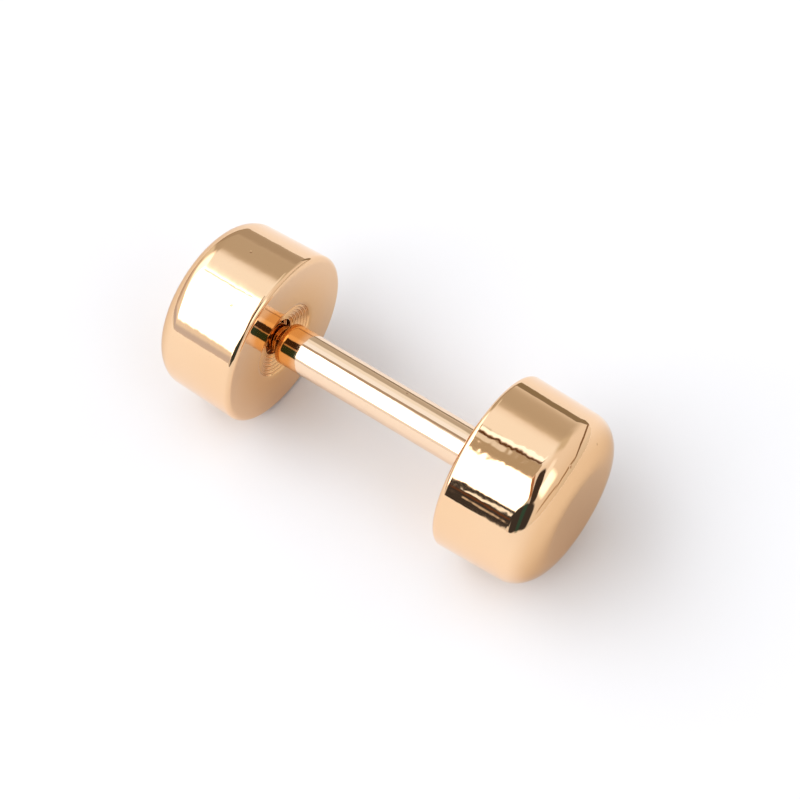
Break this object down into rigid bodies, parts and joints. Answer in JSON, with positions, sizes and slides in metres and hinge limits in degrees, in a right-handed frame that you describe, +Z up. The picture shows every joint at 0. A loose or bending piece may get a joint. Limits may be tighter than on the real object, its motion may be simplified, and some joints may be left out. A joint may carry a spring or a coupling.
{
  "type": "screw bar connector",
  "caption": "Dumbbell-shaped bag and bracelet connector: a round bar with a fixed head, and a screw-off head that lets a strap end, ring or bead onto the bar.",
  "frame": {"origin": "on the surface that both heads rest on, below the middle of the whole length", "axes": "+X along the bar from the screw-off head to the fixed head, +Z up from the surface"},
  "size_m": [0.023, 0.0096, 0.0097],
  "materials": {
    "light_gold": "mirror-polished light gold plating"
  },
  "bodies": {
    "bar": {"headed_bar": "light_gold"},
    "removable_head": {"screw_head": "light_gold"}
  },
  "joints": [
    {"name": "screw_off", "type": "slide", "parent": "bar", "child": "removable_head", "axis": [-1, 0, 0], "range_m": [0, 0.016]}
  ]
}
